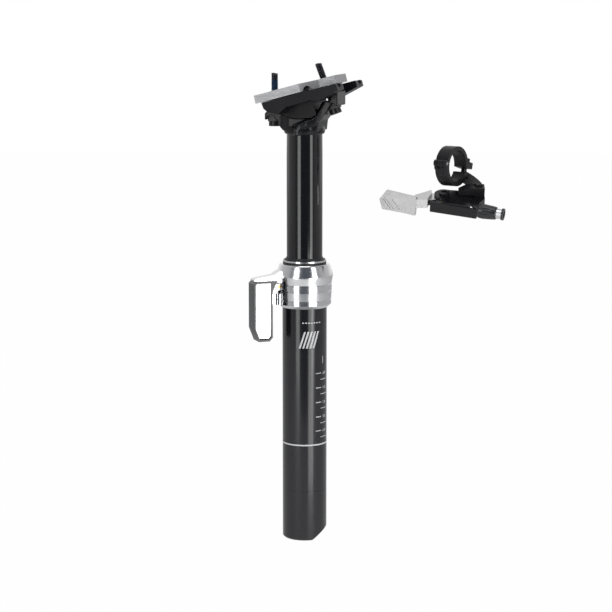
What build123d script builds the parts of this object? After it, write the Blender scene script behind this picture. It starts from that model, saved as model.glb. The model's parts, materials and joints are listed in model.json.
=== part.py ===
from build123d import *
import os
from math import cos, radians, sin

os.makedirs("parts", exist_ok=True)

# Dropper seatpost with its bar remote. Millimetres, +Z up, +X to the rear of the bicycle.
# The origin is on the post's axis at the underside of the collar.

# Clearances shared by all pieces
run_fit = 0.08
moving_gap = 0.3
seat_gap = 0.02
overrun = 1.0

# Post
tube_radius = 15.8
tube_length = 132.3
tube_bore = 13.8
neck_radius = 15.2
neck_height = 28.0
cap_length = 36.3
cap_floor = 4.6
cap_chamfer = 1.2
stanchion_radius = 12.7
stanchion_bore = 11.2
rise = 122.7
travel = 80.0
foot_stack = 7.3
stanchion_tail = tube_length - travel - foot_stack

# Collar, seal and bushing
collar_height = 31.0
collar_foot = 16.4
collar_body = 18.9
collar_waist = 19.3
collar_flange = 20.1
collar_top = 17.2
collar_lip = 13.5
groove_depth = 0.35
groove_width = 0.8
collar_groove_shares = (0.18, 0.39, 0.54, 0.77)
seal_height = 4.5
seal_foot = 15.4
seal_top = 13.6
bushing_height = 10.0

# Guide keys and lower glide bushing
key_width = 2.6
key_length = 12.0
key_depth = 0.8
key_reach = 0.35
key_space = 2.0
key_count = 3
track_depth = 0.6
glide_height = 14.0
glide_seat = 0.5
key_low = glide_height + key_space - stanchion_tail
key_top = key_low + key_length

# Gas spring
cylinder_radius = 9.0
cylinder_bore = 8.0
foot_inset = 7.0
top_inset = 12.7
cylinder_foot = foot_inset - stanchion_tail
cylinder_top = rise - top_inset
rod_radius = 4.0
rod_bore = 1.3
mount_depth = 7.2
bottom_bumper_height = 2.5
bottom_bumper_bore = 9.6
nut_height = 3.0
nut_width = 13.0
piston_height = 10.0
head_seal_height = 6.0
spigot_height = 8.0
float_inset = 26.0
float_low = cylinder_top - float_inset
float_height = 8.0
plug_height = 12.0
plug_flange = 3.0
stud_radius = 3.0
stud_rise = 9.9
stud_top = rise + stud_rise
seal_section = 1.5
bumper_height = 5.6
top_out_gap = 0.4
piston_low = cylinder_foot + spigot_height + bumper_height + top_out_gap
piston_top = piston_low + piston_height

# Release train
arm_angle = 220.0
rod_strip_width = 3.6
rod_strip_low = 13.4
rod_strip_high = 14.4
strip_top = 13.6
strip_drop = 11.4
strip_foot = -tube_length - strip_drop
lever_pivot_reach = 33.0
lever_pivot_height = 12.0
nose_reach = 13.6
anchor_reach = 19.6
anchor_height = 15.2
valve_pin_radius = 1.0
valve_drop = 12.9
valve_foot = -tube_length - valve_drop
valve_head = 2.4
rocker_pivot = 5.0
rocker_drop = 13.6
rocker_height = -tube_length - rocker_drop
rocker_hub = 2.6
rocker_pin = 1.2
ear_wall = 2.0
rocker_thickness = 4.0

# Actuator housing on the collar's arm
case_inner = 26.0
case_outer = 40.0
case_high = 20.0
case_half = 6.0
case_wall = 1.4
plate_depth = 2.0
plate_thickness = 1.2
boss_reach = 19.5
boss_radius = 3.5
boss_low = 2.4
boss_high = 10.2
housing_radius = 2.55
housing_seat = 6.1
wire_radius = 0.9
bracket_half = 4.5
bracket_low = 18.2
nose_half = 1.2
lever_half = 2.2
bracket_shares = (
    (0.44, 0.455),
    (0.44, 0.675),
    (0.508, 0.66),
    (0.60, 0.597),
    (0.938, 0.548),
    (0.975, 0.523),
    (0.975, 0.50),
    (0.56, 0.50),
    (0.525, 0.455),
)

case_shares = (
    (0.71, -0.575),
    (0.65, -0.51),
    (0.65, 0.31),
    (0.57, 0.485),
    (0.58, 0.50),
    (0.955, 0.50),
    (1.0, 0.455),
    (1.0, -0.34),
    (0.91, -0.575),
)
plate_shares = (
    (0.722, -0.54),
    (0.685, -0.49),
    (0.685, 0.465),
    (0.945, 0.465),
    (0.965, 0.44),
    (0.965, -0.34),
    (0.888, -0.54),
)
lever_shares = (
    (0.825, 0.22),
    (0.825, 0.385),
    (0.49, 0.432),
    (0.435, 0.412),
    (0.435, 0.33),
    (0.49, 0.322),
    (0.675, 0.27),
)
nose_top = 15.6
nose_low = 13.9
lever_hub = 3.2
lever_pin = 1.5
anchor_radius = 1.2
spring_radius = 2.4
spring_wire = 0.3
spring_pitch = 0.75
spring_turns = 2

# Head and saddle clamp
yoke_size = 32.0
yoke_front_shares = (
    (-0.41, -0.03),
    (-0.53, 0.10),
    (-0.80, 0.165),
    (-0.8375, 0.19),
    (-0.8375, 0.33),
    (-0.78, 0.382),
    (-0.69, 0.412),
    (-0.594, 0.412),
)
yoke_rear_shares = (
    (0.53, 0.60),
    (0.56, 0.63),
    (0.70, 0.66),
    (0.715, 0.80),
    (0.75, 0.87),
    (0.82, 0.878),
    (0.856, 0.84),
    (0.856, 0.53),
    (0.66, 0.46),
    (0.53, 0.29),
    (0.44, 0.19),
    (0.41, -0.03),
)
yoke_rise = 3.8
yoke_base = rise + yoke_rise
yoke_saddle_front = -19.0
yoke_saddle_rear = 16.6
neck_foot = 13.2
head_neck = 14.5
head_base = 4.3
socket_depth = 7.3
yoke_half = 12.0
ear_half_width = 8.9
plan_shares = (
    (1, -0.95),
    (1, -0.44),
    (1.348, -0.25),
    (1.348, 0.31),
    (1, 0.53),
    (1, 0.95),
)
tilt_angle = 15.0
split_rise = 25.2
split_height = yoke_base + split_rise
rocker_rise = 18.8
rocker_axis = split_height + rocker_rise
block_wall = 1.3
front_swing = 11.1
rear_swing = 9.5
swing_shares = (-1, -0.5, 0, 0.5, 1)
cradle_front = -14.0
cradle_back = 9.5
rocker_radius = 36.0
plate_height = 6.0
split_gap = 0.3
bar_half = 14.0
tail_half = 11.2
tail_root = 16.1
wing_outer = 28.0
rail_radius = 3.5
rail_offset = 22.0
bar_front = -28.9
bar_rear = 29.0
wing_front = -26.8
wing_rear = 7.4
cradle_rear = 34.0
block_half = 11.0
block_depth = 3.2
nut_radius = 4.2
nut_half = 10.2
nut_rise = 1.5
front_nut_x = -22.8
rear_nut_x = 16.8
bolt_radius = 2.5
bolt_head_radius = 4.25
bolt_head_height = 3.6
bolt_hex = 4.0
front_seat_x = -22.4
front_seat_rise = 5.8
front_seat_z = yoke_base + front_seat_rise
front_bolt_length = 34.0
front_washer = 3.2
rear_seat_x = 22.0
rear_seat_rise = 15.2
rear_seat_z = yoke_base + rear_seat_rise
rear_bolt_length = 34.5
rear_washer = 3.6
washer_half = 5.5
washer_flat = 0.9

wing_shares = (
    (-0.665, -0.009),
    (-0.65, -0.13),
    (-0.59, -0.21),
    (-0.38, -0.32),
    (-0.17, -0.215),
    (0.37, -0.20),
    (0.52, -0.26),
    (1.0, -0.15),
    (1.0, -0.035),
    (0.97, -0.009),
)

# Remote: its own frame has x to the right, y away and z along the lever's pivot
view_angle = 20.0
remote_lean = 22.0
remote_x = 92.8
remote_y = 33.8
remote_z = 81.7
pivot_head_radius = 3.65
pivot_head_height = 1.6
top_plate = 1.6
hub_radius = 6.5
plate_radius = 7.0
hub_thickness = 4.0
base_plate = 2.6
bush_radius = 3.0
lever_step = 2.8
moment_arm = 9.2
cable_angle = -18.4
beam_left = -6.8
beam_step = 7.0
beam_right = 26.8
beam_front = 3.6
beam_wall = 1.4
beam_rise = 0.6
knob_length = 13.6
barrel_show = 3.6
barrel_radius = 3.0
end_ring = 1.6
remote_span = 30.0
paddle_thickness = 2.6
paddle_angle = -25.7

beam_block = 14.0
beam_height = 7.4
paddle_x = -21.6
paddle_y = -10.9
lug_radius = 1.9
base_shares = (
    (-0.350, -0.333),
    (0.713, -0.687),
    (0.812, -0.390),
    (0.95, -0.167),
    (0.95, 0.15),
    (0.667, 0.167),
    (0.167, 0.2),
    (-0.2, 0.133),
    (-0.31, -0.217),
)
shoulder_shares = (
    (0.30, 0.16),
    (0.30, -0.10),
    (0.477, -0.42),
    (0.713, -0.687),
    (0.812, -0.390),
    (0.95, -0.167),
    (0.95, 0.15),
    (0.667, 0.167),
)
top_shares = (
    (-0.065, -0.407),
    (0.568, -0.617),
    (0.66, 0.12),
    (0.10, 0.21),
)
lug_shares = ((-0.155, -0.285), (-0.04, -0.30), (0.16, -0.14), (-0.20, -0.05))
arm_shares = (
    (-0.16, 0.14),
    (-0.277, 0.153),
    (-0.70, -0.10),
    (-0.735, -0.33),
    (-0.41, -0.33),
    (-0.37, -0.20),
    (-0.16, -0.14),
)
raised_shares = (
    (-0.29, 0.15),
    (-0.70, -0.10),
    (-0.735, -0.33),
    (-0.41, -0.33),
    (-0.37, -0.20),
    (-0.285, 0.0),
)
paddle_shares = (
    (-0.04, 0.04),
    (0.73, 0.053),
    (0.897, -0.203),
    (0.82, -0.457),
    (0.303, -0.433),
    (-0.02, -0.437),
)
knob_shares = (
    (0.0, 0.2261),
    (0.0, 0.331),
    (0.08, 0.37),
    (0.30, 0.397),
    (0.80, 0.353),
    (0.95, 0.331),
    (1.0, 0.303),
    (1.0, 0.2261),
)
band_wall = 3.0

# Handlebar clamp
bar_yaw = 54.0
clamp_x = 97.6
clamp_y = 35.5
clamp_z = 100.1
handlebar_radius = 11.1
band_radius = 14.1
band_half = 5.0
band_gap = 3.5
hinge_gap = 0.5
hinge_angle = 168.0
hinge_radius = 2.5
hinge_pin = 1.1
gap_angle = -16.0
lug_reach = 19.5
lug_height = 4.5
clamp_bolt = 2.0
foot_half = 3.6
foot_x = 24.7
foot_height = 6.8
foot_hole = 5.6
foot_bolt_length = 10.4
bracket_thick = 4.5
bracket_bulge = 2.0
gusset_low = 1.3
gusset_reach = 14.6
gusset_step = 9.0
gusset_rise = 3.8
hinge_span = 11.0
clamp_bolt_head = 3.2
clamp_bolt_height = 2.4
clamp_bolt_hex = 3.0


def write(piece, name):
    piece.part.label = name
    export_step(piece.part, f"parts/{name}.step")


def scaled(shares, length):
    return [(x * length, y * length) for x, y in shares]


def direction(angle):
    return Vector(cos(radians(angle)), sin(radians(angle)), 0)


def sleeve(outer, inner, low, high, base=Plane.XY):
    with BuildPart() as piece:
        with BuildSketch(base.offset(low)):
            Circle(outer)
            Circle(inner, mode=Mode.SUBTRACT)
        extrude(amount=high - low)
    return piece


def rod(radius, low, high, base=Plane.XY):
    with BuildPart() as piece:
        with BuildSketch(base.offset(low)):
            Circle(radius)
        extrude(amount=high - low)
    return piece


def coil(base, radius, wire, pitch, turns):
    with BuildPart() as piece:
        with BuildLine() as path:
            Helix(pitch, pitch * turns, radius, center=base.origin, direction=base.z_dir)
        with BuildSketch(Plane(path.line @ 0, z_dir=path.line % 0)):
            Circle(wire)
        sweep()
    return piece


def bolt(base, radius, length, head_radius, head_height, hex_width):
    # The head lies below the base plane and the shank above it
    with BuildPart() as piece:
        with BuildSketch(base.offset(-head_height)):
            Circle(head_radius)
        extrude(amount=head_height)
        with BuildSketch(base):
            Circle(radius)
        extrude(amount=length)
        with BuildSketch(base.offset(-head_height)):
            RegularPolygon(hex_width / 2, 6, major_radius=False)
        extrude(amount=head_height / 2, mode=Mode.SUBTRACT)
    return piece


# Planes: the arm's own side plane has x outwards along the arm and y up
arm = direction(arm_angle)
arm_side = Plane(origin=(0, 0, 0), x_dir=arm, z_dir=(arm.Y, -arm.X, 0))
arm_flat = Plane(origin=(0, 0, 0), x_dir=arm, z_dir=(0, 0, 1))
tilt = radians(tilt_angle)
clamp_cross = Plane(
    origin=(0, 0, split_height), x_dir=(0, 1, 0), z_dir=(cos(tilt), 0, sin(tilt))
)
clamp_side = Plane(
    origin=(0, 0, split_height), x_dir=(cos(tilt), 0, sin(tilt)), z_dir=(0, -1, 0)
)
clamp_flat = Plane(
    origin=(0, 0, split_height), x_dir=(cos(tilt), 0, sin(tilt)), z_dir=(-sin(tilt), 0, cos(tilt))
)


# Outer tube: the wall that the frame clamps, a threaded neck inside the collar, three key tracks
with BuildPart() as outer_tube:
    with BuildSketch(Plane.XZ):
        with BuildLine():
            Polyline(
                (tube_bore, -tube_length),
                (tube_radius, -tube_length),
                (tube_radius, 0),
                (neck_radius, 0),
                (neck_radius, neck_height),
                (tube_bore, neck_height),
                close=True,
            )
        make_face()
    revolve(axis=Axis.Z)
    track_low = -tube_length + key_length / 2
    with BuildSketch(Plane.XY.offset(track_low)):
        with PolarLocations(tube_bore, key_count, start_angle=arm_angle + 180 / key_count):
            Rectangle(2 * track_depth, key_width + 2 * moving_gap)
    extrude(amount=key_top + key_length / 2 - track_low, mode=Mode.SUBTRACT)
    strip_room = rod_strip_width + 2 * moving_gap
    with BuildSketch(arm_flat.offset(-tube_length)):
        with Locations((tube_bore, 0)):
            Rectangle(2 * (rod_strip_high + moving_gap - tube_bore), strip_room)
    extrude(amount=tube_length + nose_reach / 4, mode=Mode.SUBTRACT)
    window_low = nose_reach / 4
    window_high = anchor_height + boss_radius / 2
    with BuildSketch(arm_side):
        with Locations(((tube_bore + neck_radius) / 2, (window_low + window_high) / 2)):
            Rectangle(2 * (neck_radius - tube_bore), window_high - window_low)
    extrude(amount=strip_room / 2, both=True, mode=Mode.SUBTRACT)
write(outer_tube, "outer_tube")

# Bottom cap: a cup with a slanted flat across one side of its foot
cap_top = -tube_length
cap_foot = cap_top - cap_length
with BuildPart() as bottom_cap:
    with BuildSketch(Plane.XY.offset(cap_foot)):
        Circle(tube_radius)
    extrude(amount=cap_length)
    chamfer(bottom_cap.edges().group_by(Axis.Z)[0], cap_chamfer)
    with BuildSketch(Plane.XY.offset(cap_foot + cap_floor)):
        Circle(tube_bore)
    extrude(amount=cap_length, mode=Mode.SUBTRACT)
    with BuildSketch(arm_flat.offset(cap_foot + cap_length / 2)):
        with Locations((tube_bore, 0)):
            Rectangle(2 * (rod_strip_high + moving_gap - tube_bore), rocker_thickness + 2 * moving_gap)
    extrude(amount=cap_length, mode=Mode.SUBTRACT)
    slant = cap_length / 4
    with BuildSketch(Plane.XZ.rotated((0, 0, view_angle))):
        with BuildLine():
            Polyline(
                (tube_radius / 3, cap_foot),
                (tube_radius + overrun, cap_foot + slant),
                (tube_radius + overrun, cap_foot - overrun),
                (tube_radius / 3, cap_foot - overrun),
                close=True,
            )
        make_face()
    extrude(amount=tube_radius * 2, both=True, mode=Mode.SUBTRACT)
write(bottom_cap, "bottom_cap")

# Rod mount: a plug across the tube's foot that carries the gas rod and the rocker's ears
mount_low = cap_top - mount_depth
bottom_out = -(stanchion_tail + travel)
mount_high = bottom_out - moving_gap - bottom_bumper_height
ear_half = rocker_thickness / 2 + moving_gap
ear_foot = rocker_height - 2 * rocker_pin
with BuildPart() as rod_mount:
    with BuildSketch(Plane.XY.offset(mount_low)):
        Circle(tube_bore - seat_gap)
        Circle(rod_radius + seat_gap, mode=Mode.SUBTRACT)
    extrude(amount=mount_high - mount_low)
    with BuildSketch(arm_flat.offset(ear_foot)):
        with Locations(
            (rocker_pivot, ear_half + ear_wall / 2), (rocker_pivot, -ear_half - ear_wall / 2)
        ):
            Rectangle(4 * rocker_pin, ear_wall)
    extrude(amount=mount_low - ear_foot)
    with BuildSketch(arm_side):
        with Locations((rocker_pivot, rocker_height)):
            Circle(rocker_pin + seat_gap)
    extrude(amount=2 * ear_half + ear_wall, both=True, mode=Mode.SUBTRACT)
    with BuildSketch(arm_flat.offset(mount_low - overrun)):
        with Locations((tube_bore, 0)):
            Rectangle(2 * (tube_bore - rod_strip_low + moving_gap), strip_room)
    extrude(amount=mount_high - mount_low + 2 * overrun, mode=Mode.SUBTRACT)
write(rod_mount, "rod_mount")

# Gas rod with its nut, piston and seals: all of these stay with the tube
gas_rod = sleeve(rod_radius, rod_bore, mount_low, piston_top)
write(gas_rod, "gas_rod")
with BuildPart() as rod_nut:
    with BuildSketch(Plane.XY.offset(mount_high)):
        RegularPolygon(nut_width / 2, 6, major_radius=False)
        Circle(rod_radius + seat_gap, mode=Mode.SUBTRACT)
    extrude(amount=nut_height)
write(rod_nut, "rod_nut")
ring_low = piston_low + piston_height / 3
ring_high = ring_low + 2 * seal_section
piston_radius = cylinder_bore - run_fit
with BuildPart() as piston:
    with BuildSketch(Plane.XY.offset(piston_low)):
        Circle(piston_radius)
        Circle(rod_radius + seat_gap, mode=Mode.SUBTRACT)
    extrude(amount=piston_height)
    with BuildSketch(Plane.XY.offset(ring_low)):
        Circle(cylinder_bore)
        Circle(piston_radius - seal_section, mode=Mode.SUBTRACT)
    extrude(amount=ring_high - ring_low, mode=Mode.SUBTRACT)
write(piston, "piston")
piston_seal = sleeve(
    piston_radius,
    piston_radius - seal_section + seat_gap,
    ring_low + seat_gap,
    ring_high - seat_gap,
)
write(piston_seal, "piston_seal")
top_out_bumper = sleeve(
    cylinder_bore - seal_section, rod_radius + seat_gap, piston_low - bumper_height, piston_low
)
write(top_out_bumper, "top_out_bumper")
bottom_bumper = sleeve(
    stanchion_radius, bottom_bumper_bore, mount_high, mount_high + bottom_bumper_height
)
write(bottom_bumper, "bottom_bumper")

# Valve pin down the rod's bore, with its head over the piston
with BuildPart() as valve_pin:
    with BuildSketch(Plane.XY.offset(valve_foot)):
        Circle(valve_pin_radius)
    extrude(amount=piston_top + moving_gap - valve_foot)
    with BuildSketch(Plane.XY.offset(piston_top + moving_gap)):
        Circle(valve_head)
    extrude(amount=valve_pin_radius)
write(valve_pin, "valve_pin")

# Rocker: turns the strip's push down into the valve pin's push up
strip_contact = strip_foot - moving_gap
valve_contact = valve_foot - moving_gap
rocker_tip = rod_strip_high - moving_gap
with BuildPart() as rocker:
    with BuildSketch(arm_side):
        with BuildLine():
            Polyline(
                (-rocker_pin, valve_contact - valve_pin_radius),
                (-rocker_pin, valve_contact),
                (rocker_pin, valve_contact),
                (rocker_pivot, rocker_height + rocker_hub),
                (rod_strip_low - rocker_pin, strip_contact),
                (rocker_tip, strip_contact),
                (rocker_tip, strip_contact - rocker_pin),
                (rocker_pivot, rocker_height - rocker_hub),
                close=True,
            )
        make_face()
        with Locations((rocker_pivot, rocker_height)):
            Circle(rocker_hub)
            Circle(rocker_pin + run_fit, mode=Mode.SUBTRACT)
    extrude(amount=rocker_thickness / 2, both=True)
write(rocker, "valve_rocker")
rocker_side = arm_side.offset(-ear_half - ear_wall)
rocker_base = Plane(
    origin=rocker_side.from_local_coords((rocker_pivot, rocker_height, 0)),
    x_dir=arm,
    z_dir=arm_side.z_dir,
)
write(rod(rocker_pin, 0, 2 * (ear_half + ear_wall), rocker_base), "rocker_pin")

# Release strip: a flat bar that runs in its own track from the collar to the rocker
with BuildPart() as release_strip:
    with BuildSketch(arm_flat.offset(strip_foot)):
        with Locations(((rod_strip_low + rod_strip_high) / 2, 0)):
            Rectangle(rod_strip_high - rod_strip_low, rod_strip_width)
    extrude(amount=strip_top - strip_foot)
write(release_strip, "release_strip")

# Stanchion: key pockets and a seat for the glide bushing near its foot
pocket_floor = stanchion_radius - key_depth
with BuildPart() as stanchion:
    with BuildSketch(Plane.XY.offset(-stanchion_tail)):
        Circle(stanchion_radius)
        Circle(stanchion_bore, mode=Mode.SUBTRACT)
    extrude(amount=stanchion_tail + rise + socket_depth)
    with BuildSketch(Plane.XY.offset(-stanchion_tail)):
        Circle(stanchion_radius + overrun)
        Circle(stanchion_radius - glide_seat, mode=Mode.SUBTRACT)
    extrude(amount=glide_height, mode=Mode.SUBTRACT)
    with BuildSketch(Plane.XY.offset(key_low)):
        with PolarLocations(stanchion_radius, key_count, start_angle=arm_angle + 180 / key_count):
            Rectangle(2 * key_depth, key_width + 2 * seat_gap)
    extrude(amount=key_length, mode=Mode.SUBTRACT)
write(stanchion, "stanchion")

key_radius = tube_bore + key_reach
with BuildPart() as guide_keys:
    with BuildSketch(Plane.XY.offset(key_low)):
        with PolarLocations(
            (pocket_floor + key_radius) / 2, key_count, start_angle=arm_angle + 180 / key_count
        ):
            Rectangle(key_radius - pocket_floor, key_width)
    extrude(amount=key_length)
write(guide_keys, "guide_keys")

with BuildPart() as glide_bushing:
    with BuildSketch(arm_flat.offset(-stanchion_tail)):
        Circle(tube_bore - run_fit)
        Circle(stanchion_radius - glide_seat + seat_gap, mode=Mode.SUBTRACT)
        with Locations((tube_bore, 0)):
            Rectangle(2 * glide_seat + 2 * tube_bore - 2 * stanchion_radius, strip_room, mode=Mode.SUBTRACT)
    extrude(amount=glide_height)
write(glide_bushing, "lower_glide_bushing")

# Gas cylinder inside the stanchion, closed by a sealed foot and a top plug
with BuildPart() as seal_head:
    with BuildSketch(Plane.XY.offset(cylinder_foot - head_seal_height)):
        Circle(stanchion_bore - seat_gap)
    extrude(amount=head_seal_height)
    with BuildSketch(Plane.XY.offset(cylinder_foot)):
        Circle(cylinder_bore - seat_gap)
    extrude(amount=spigot_height)
    with BuildSketch(Plane.XY.offset(cylinder_foot - head_seal_height)):
        Circle(rod_radius + run_fit)
    extrude(amount=head_seal_height + spigot_height, mode=Mode.SUBTRACT)
    with BuildSketch(Plane.XY.offset(cylinder_foot)):
        Circle(rod_radius + seal_section)
    extrude(amount=2 * seal_section, mode=Mode.SUBTRACT)
write(seal_head, "cylinder_seal_head")
rod_seal = sleeve(
    rod_radius + seal_section - seat_gap,
    rod_radius + run_fit,
    cylinder_foot + seat_gap,
    cylinder_foot + 2 * seal_section - seat_gap,
)
write(rod_seal, "rod_seal")
gas_cylinder = sleeve(cylinder_radius, cylinder_bore, cylinder_foot, cylinder_top)
write(gas_cylinder, "gas_cylinder")
with BuildPart() as floating_piston:
    with BuildSketch(Plane.XY.offset(float_low)):
        Circle(cylinder_bore - seat_gap)
    extrude(amount=float_height)
    with BuildSketch(Plane.XY.offset(float_low)):
        Circle(cylinder_bore / 2)
    extrude(amount=float_height / 2, mode=Mode.SUBTRACT)
write(floating_piston, "floating_piston")
with BuildPart() as top_plug:
    with BuildSketch(Plane.XY.offset(cylinder_top - plug_height)):
        Circle(cylinder_bore - seat_gap)
    extrude(amount=plug_height)
    with BuildSketch(Plane.XY.offset(cylinder_top)):
        Circle(cylinder_radius)
    extrude(amount=plug_flange)
    with BuildSketch(Plane.XY.offset(cylinder_top + plug_flange)):
        Circle(stud_radius)
    extrude(amount=stud_top - cylinder_top - plug_flange)
write(top_plug, "cylinder_top_plug")

# Collar: turned and stepped, with the bracket arm, the cable boss and the lever's window
groove_heights = [share * collar_height for share in collar_groove_shares]
with BuildPart() as collar:
    with BuildSketch(Plane.XZ):
        with BuildLine():
            Polyline(
                (neck_radius + seat_gap, 0),
                (collar_foot, 0),
                (collar_body, boss_low),
                (collar_body, groove_heights[0]),
                (collar_waist, groove_heights[1]),
                (collar_waist, groove_heights[2] + groove_width),
                (collar_flange, groove_heights[3] - 2 * groove_width),
                (collar_flange, groove_heights[3]),
                (collar_top + groove_width, collar_height - groove_width),
                (collar_top, collar_height),
                (collar_lip, collar_height),
                (collar_lip, neck_height),
                (neck_radius + seat_gap, neck_height),
                close=True,
            )
        make_face()
    revolve(axis=Axis.Z)
    for height in groove_heights[:3]:
        with BuildSketch(Plane.XY.offset(height - groove_width / 2)):
            Circle(collar_flange + overrun)
            Circle(collar_body - groove_depth, mode=Mode.SUBTRACT)
        extrude(amount=groove_width, mode=Mode.SUBTRACT)
    with BuildSketch(arm_side):
        with BuildLine():
            Polyline(scaled(bracket_shares, case_outer), close=True)
        make_face()
    extrude(amount=bracket_half, both=True)
    with BuildSketch(arm_flat.offset(boss_low)):
        with Locations((boss_reach, 0)):
            Circle(boss_radius)
        with Locations(((boss_reach + case_inner) / 2, 0)):
            Rectangle(case_inner - boss_reach, boss_radius)
    extrude(amount=boss_high - boss_low)
    with BuildSketch(arm_flat.offset(-overrun)):
        with Locations((boss_reach, 0)):
            Circle(housing_radius)
    extrude(amount=overrun + boss_low + housing_seat, mode=Mode.SUBTRACT)
    with BuildSketch(arm_flat.offset(boss_low)):
        with Locations((boss_reach, 0)):
            Circle(wire_radius)
    extrude(amount=boss_high, mode=Mode.SUBTRACT)
    with BuildSketch(Plane.XY):
        Circle(neck_radius + seat_gap)
    extrude(amount=neck_height, mode=Mode.SUBTRACT)
    with BuildSketch(arm_side):
        with Locations(((neck_radius + collar_flange) / 2, (boss_high + bracket_low) / 2)):
            Rectangle(collar_flange - neck_radius + 2 * overrun, bracket_low - boss_high)
    extrude(amount=lever_half + moving_gap, both=True, mode=Mode.SUBTRACT)
write(collar, "collar")

# Wiper seal on the collar's top with its garter ring, and the bushing that the stanchion runs in
seal_groove = seal_height / 3
with BuildPart() as wiper_seal:
    with BuildSketch(Plane.XZ):
        with BuildLine():
            Polyline(
                (stanchion_radius + run_fit, collar_height),
                (seal_foot, collar_height),
                (seal_foot, collar_height + seal_groove),
                (seal_foot - seal_section / 2, collar_height + seal_groove),
                (seal_foot - seal_section / 2, collar_height + 2 * seal_groove),
                (seal_top, collar_height + 2 * seal_groove),
                (stanchion_radius + moving_gap, collar_height + seal_height),
                (stanchion_radius + run_fit, collar_height + seal_height),
                close=True,
            )
        make_face()
    revolve(axis=Axis.Z)
write(wiper_seal, "wiper_seal")
seal_ring = sleeve(
    seal_foot + seat_gap,
    seal_foot - seal_section / 2 + seat_gap,
    collar_height + seal_groove,
    collar_height + 2 * seal_groove - moving_gap,
)
write(seal_ring, "seal_ring")
upper_bushing = sleeve(
    tube_bore - seat_gap, stanchion_radius + run_fit, neck_height - bushing_height, neck_height
)
write(upper_bushing, "upper_bushing")

# Actuator housing: a shell closed by its plate, with a horn that bridges to the bracket
side_face = arm_side.offset(-case_half)
plate_face = arm_side.offset(-(case_half - plate_depth))
with BuildPart() as housing:
    with BuildSketch(arm_side):
        with BuildLine():
            Polyline(scaled(case_shares, case_outer), close=True)
        make_face()
    extrude(amount=case_half, both=True)
    with BuildSketch(side_face):
        with BuildLine():
            Polyline(scaled(plate_shares, case_outer), close=True)
        make_face()
    extrude(amount=2 * case_half - case_wall, mode=Mode.SUBTRACT)
    lever_room = lever_half + moving_gap
    with BuildSketch(arm_side):
        with Locations((case_inner, lever_pivot_height + case_wall)):
            Rectangle(2 * boss_radius, 2 * (case_high - lever_pivot_height) - 3 * case_wall)
    extrude(amount=lever_room, both=True, mode=Mode.SUBTRACT)
    with BuildSketch(arm_side):
        with Locations((lever_pivot_reach, lever_pivot_height)):
            Circle(lever_pin + seat_gap)
    extrude(amount=case_half, mode=Mode.SUBTRACT)
write(housing, "actuator_housing")

with BuildPart() as cover_plate:
    with BuildSketch(plate_face.offset(-plate_thickness)):
        with BuildLine():
            Polyline(scaled(plate_shares, case_outer), close=True)
        make_face()
        offset(amount=-seat_gap, mode=Mode.REPLACE)
    extrude(amount=plate_thickness)
write(cover_plate, "actuator_cover_plate")

pivot_base = Plane(
    origin=arm_side.from_local_coords((lever_pivot_reach, lever_pivot_height, 0)),
    x_dir=arm,
    z_dir=arm_side.z_dir,
)
write(rod(lever_pin, moving_gap - case_half + plate_depth, case_half, pivot_base), "lever_pin")

with BuildPart() as actuator_lever:
    with BuildSketch(arm_side):
        with BuildLine():
            Polyline(scaled(lever_shares, case_outer), close=True)
        make_face()
        with Locations((lever_pivot_reach, lever_pivot_height)):
            Circle(lever_hub)
    extrude(amount=lever_half, both=True)
    with BuildSketch(arm_side):
        with Locations(((nose_reach + anchor_reach) / 2, (nose_top + nose_low) / 2)):
            Rectangle(anchor_reach - nose_reach, nose_top - nose_low)
    extrude(amount=nose_half, both=True)
    with BuildSketch(arm_side):
        with Locations((lever_pivot_reach, lever_pivot_height)):
            Circle(lever_pin + run_fit)
        with Locations((anchor_reach, anchor_height)):
            Circle(anchor_radius + seat_gap)
    extrude(amount=case_half, both=True, mode=Mode.SUBTRACT)
write(actuator_lever, "actuator_lever")

anchor_base = Plane(
    origin=arm_side.from_local_coords((anchor_reach, anchor_height, 0)),
    x_dir=arm,
    z_dir=arm_side.z_dir,
)
write(rod(anchor_radius, -lever_half, lever_half, anchor_base), "actuator_cable_anchor")
spring_base = pivot_base.offset(lever_half + moving_gap / 2 + spring_wire)
write(coil(spring_base, spring_radius, spring_wire, spring_pitch, spring_turns), "lever_spring")


def clamp_point(x, z):
    return Vector(x * cos(tilt) - z * sin(tilt), 0, split_height + x * sin(tilt) + z * cos(tilt))


def bolt_frame(seat, nut):
    # x towards the rear, y through the saddle and z up the bolt
    up = (nut - seat).normalized()
    return Plane(origin=seat, x_dir=(up.Z, 0, -up.X), z_dir=up)


front_nut_at = clamp_point(front_nut_x, nut_rise)
rear_nut_at = clamp_point(rear_nut_x, nut_rise)
front_seat = bolt_frame(Vector(front_seat_x, 0, front_seat_z), front_nut_at)
rear_seat = bolt_frame(Vector(rear_seat_x, 0, rear_seat_z), rear_nut_at)


def side_of(frame):
    # The plane across a bolt that looks along the saddle's cross axis, with y up the bolt
    return Plane(origin=frame.origin, x_dir=frame.x_dir, z_dir=(0, -1, 0))


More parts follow.
